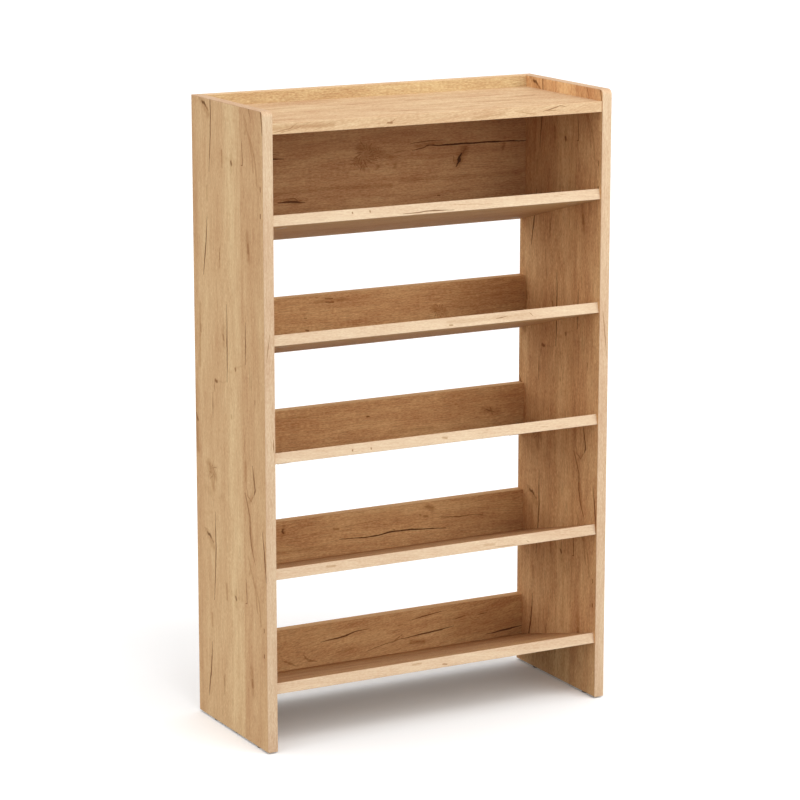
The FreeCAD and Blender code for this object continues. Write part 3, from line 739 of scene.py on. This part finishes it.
def dress_rack():
    """Gives every piece of the rack its finish, by the name of its material slot and its own name."""
    side_marks = wrapped(SIDE_MARKS)
    boards = {
        "left_side_panel": oak("oak_left", UPRIGHT, LEFT_SIDE_COLOUR, side_marks, SIDE_BANDS, SIDE_REPEAT),
        "right_side_panel": oak(
            "oak_right", UPRIGHT, RIGHT_SIDE_SHADED_COLOUR, side_marks, SIDE_BANDS, SIDE_REPEAT,
            contrast=BOARD_CONTRAST,
        ),
        "top_panel": oak("oak_top", LEVEL, TOP_LIT_COLOUR, TOP_MARKS, shift=TOP_SHIFT, contrast=TOP_CONTRAST),
        "upper_back_panel": oak(
            "oak_upper_back", STANDING, UPPER_BACK_SHADED_COLOUR, UPPER_BACK_MARKS,
            contrast=UPPER_BACK_CONTRAST, rim_levels=RIM_COLOUR,
        ),
    }
    for number in range(1, SHELF_COUNT + 1):
        shift = SHELF_SHIFT + SHELF_SHIFT_STEP * (number - 1)
        boards[f"shelf_{number}"] = oak(
            f"oak_shelf_{number}", TILTED, SHELF_SHADED_COLOUR,
            shift=shift, contrast=BOARD_CONTRAST, far_face_painted_light=UNDERSIDE_PAINTED_LIGHT,
        )
    for number, marks in RAIL_MARKS.items():
        boards[f"shelf_{number}_back_rail"] = oak(
            f"oak_rail_{number}", STANDING, BOARD_COLOUR, marks,
            contrast=BOARD_CONTRAST, lean=RAIL_LEANS[number],
        )
    side_band = oak(
        "oak_side_band", ROUND_THE_SIDE, SIDE_BAND_COLOUR, SIDE_BAND_MARKS, SIDE_BAND_PAINTED_LIGHT_AND_SHADE,
        contrast=SIDE_BAND_CONTRAST,
    )
    top_band = oak("oak_top_band", ON_AN_EDGE, TOP_BAND_COLOUR, TOP_BAND_MARKS, lean=TOP_BAND_LEAN)
    shelf_band = oak(
        "oak_shelf_band", ON_AN_EDGE, SHELF_BAND_COLOUR, SHELF_BAND_MARKS, SHELF_BAND_PAINTED_SHADE,
        contrast=SHELF_BAND_CONTRAST, lean=SHELF_BAND_LEAN,
    )
    rail_band = oak("oak_rail_band", ON_AN_EDGE, BOARD_COLOUR)
    fittings = {slot: grained(finish) for slot, finish in FITTINGS.items()}
    for name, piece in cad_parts.items():
        for slot in piece.material_slots:
            kind = slot.material.name
            if kind in fittings:
                slot.material = fittings[kind]
            elif kind == "oak_board":
                slot.material = boards[name]
            elif "_side_" in name:
                slot.material = side_band
            elif "rail" in name:
                slot.material = rail_band
            elif name.startswith("shelf"):
                slot.material = shelf_band
            else:
                slot.material = top_band


def in_view(tree):
    """1 for rays from the camera and for mirrored or refracted ones, 0 for those that carry light."""
    path = tree.node("ShaderNodeLightPath").outputs
    seen = tree.math("MAXIMUM", path["Is Camera Ray"], path["Is Glossy Ray"])
    return tree.math("MAXIMUM", seen, path["Is Transmission Ray"])


def make_floor():
    """A wide plain pale floor, which takes the rack's shadow."""
    reach = 40.0
    mesh = bpy.data.meshes.new("floor")
    corners = [(-reach, -reach, 0), (reach, -reach, 0), (reach, reach, 0), (-reach, reach, 0)]
    mesh.from_pydata(corners, [], [(0, 1, 2, 3)])
    floor = bpy.data.objects.new("floor", mesh)
    bpy.context.scene.collection.objects.link(floor)
    material, tree, shader = new_material("pale_floor")
    seen = in_view(tree)
    thrown, shown = ((level, level, level, 1.0) for level in (FLOOR_BOUNCE, FLOOR_SEEN))
    tree.give(shader.inputs["Base Color"], tree.mix(seen, thrown, shown))
    shader.inputs["Emission Color"].default_value = (1, 1, 1, 1)
    tree.give(shader.inputs["Emission Strength"], tree.math("MULTIPLY", seen, FLOOR_GLOW))
    shader.inputs["Roughness"].default_value = 1.0
    shader.inputs["Specular IOR Level"].default_value = 0.0
    mesh.materials.append(material)


def towards(light):
    """The direction from the rack to a light."""
    turn = math.radians(light.turn)
    height = math.radians(light.height)
    return Vector((math.cos(height) * math.sin(turn), -math.cos(height) * math.cos(turn), math.sin(height)))


def add_lamp(name, kind, strength):
    """A lamp in the scene, and its own settings."""
    data = bpy.data.lights.new(name, kind)
    data.energy = strength
    lamp = bpy.data.objects.new(name, data)
    bpy.context.scene.collection.objects.link(lamp)
    return lamp, data


def make_light():
    """A white studio that shows as plain white, with soft boxes on both sides and a lamp high in front."""
    world = bpy.data.worlds.new("studio")
    world.use_nodes = True
    bpy.context.scene.world = world
    tree = Tree(world.node_tree)
    way = tree.node("ShaderNodeTexCoord").outputs["Generated"]
    facing = tree.math("MAXIMUM", tree.vector("DOT_PRODUCT", way, tuple(towards(LEFT_BOX))), 0.0)
    glow = tree.math("POWER", facing, LEFT_BOX_FOCUS)
    light = tree.math("MULTIPLY_ADD", glow, LEFT_BOX.strength, STUDIO_LIGHT)
    background = world.node_tree.nodes["Background"]
    background.inputs["Color"].default_value = (1, 1, 1, 1)
    tree.give(background.inputs["Strength"], tree.remap(in_view(tree), 0.0, 1.0, light, 1.0, "LINEAR"))

    lamp, data = add_lamp("soft_lamp", "SUN", LAMP.strength * math.pi)
    data.angle = math.radians(LAMP_SPREAD)
    lamp.rotation_euler = towards(LAMP).to_track_quat("Z", "Y").to_euler()

    rack_middle = (cad_box[0] + cad_box[1]) / 2
    place = towards(NEAR_BOX) * NEAR_BOX_DISTANCE + Vector((0, 0, NEAR_BOX_UP))
    back = place - rack_middle
    # An area lamp's light fades with the square of the distance.
    power = NEAR_BOX.strength * math.pi**2 * back.length_squared
    box, data = add_lamp("near_soft_box", "AREA", power)
    data.size = NEAR_BOX_SIZE
    box.location = place
    box.rotation_euler = back.to_track_quat("Z", "Y").to_euler()
    box.visible_camera = False


def make_camera():
    """The photograph's view: from the front left, a little above the rack's top."""
    data = bpy.data.cameras.new("camera")
    data.sensor_width = CAMERA_SENSOR
    data.lens = CAMERA_LENS
    camera = bpy.data.objects.new("camera", data)
    camera.location = CAMERA_PLACE
    camera.rotation_euler = (math.radians(90 - CAMERA_DOWN), 0, -math.radians(CAMERA_TURN))
    bpy.context.scene.collection.objects.link(camera)
    bpy.context.scene.camera = camera


dress_rack()
make_floor()
make_light()
make_camera()
bpy.context.scene.view_settings.view_transform = "Standard"
